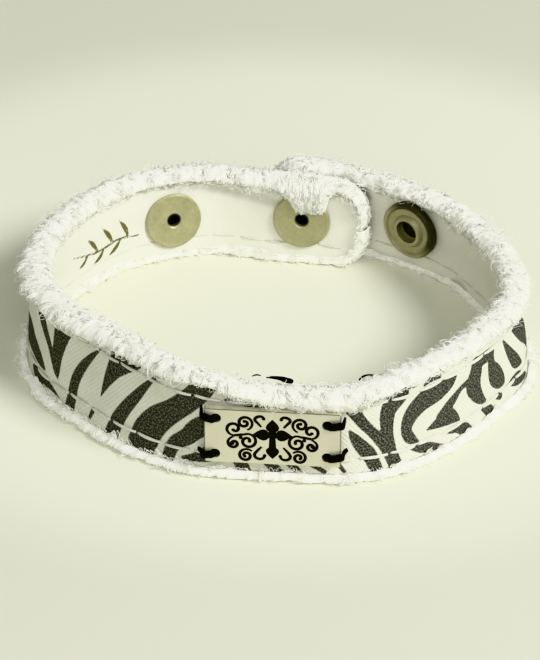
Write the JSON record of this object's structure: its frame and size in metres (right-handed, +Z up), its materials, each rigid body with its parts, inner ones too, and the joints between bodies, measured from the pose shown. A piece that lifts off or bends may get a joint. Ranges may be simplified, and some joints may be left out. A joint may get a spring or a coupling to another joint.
{
  "type": "canvas bracelet",
  "caption": "Frayed canvas snap bracelet with a zebra print, a plain lining and a small engraved steel plate with a cross and scrolls, lashed on with black thread.",
  "frame": {"origin": "centre of the outer box on the table, under the open middle of the ring", "axes": "+Z up, along the axis of the ring; the plate faces -Y and the snaps lie at +Y; +X is to the right of someone who looks at the plate"},
  "size_m": [0.0734, 0.07, 0.015],
  "materials": {
    "printed_canvas": "woven canvas with a black zebra print",
    "plain_lining": "unbleached woven canvas",
    "frayed_cotton": "curly frayed cotton yarn",
    "brushed_plate": "satin",
    "black_inlay": "semi-matt enamel",
    "black_thread": "twisted cotton thread",
    "snap_metal": "aged nickel, slightly dull"
  },
  "bodies": {
    "root": {"outer_canvas": "printed_canvas", "inner_canvas": "plain_lining", "fray_top": "frayed_cotton", "fray_bottom": "frayed_cotton", "cross_plate": "brushed_plate", "cross_inlay": "black_inlay", "lashing_left_top": "black_thread", "lashing_left_bottom": "black_thread", "lashing_right_top": "black_thread", "lashing_right_bottom": "black_thread", "spare_flange": "snap_metal", "spare_stud": "snap_metal", "closed_flange": "snap_metal", "closed_stud": "snap_metal", "closed_socket": "snap_metal", "closed_cap": "snap_metal", "spare_socket": "snap_metal", "spare_cap": "snap_metal"}
  },
  "joints": []
}
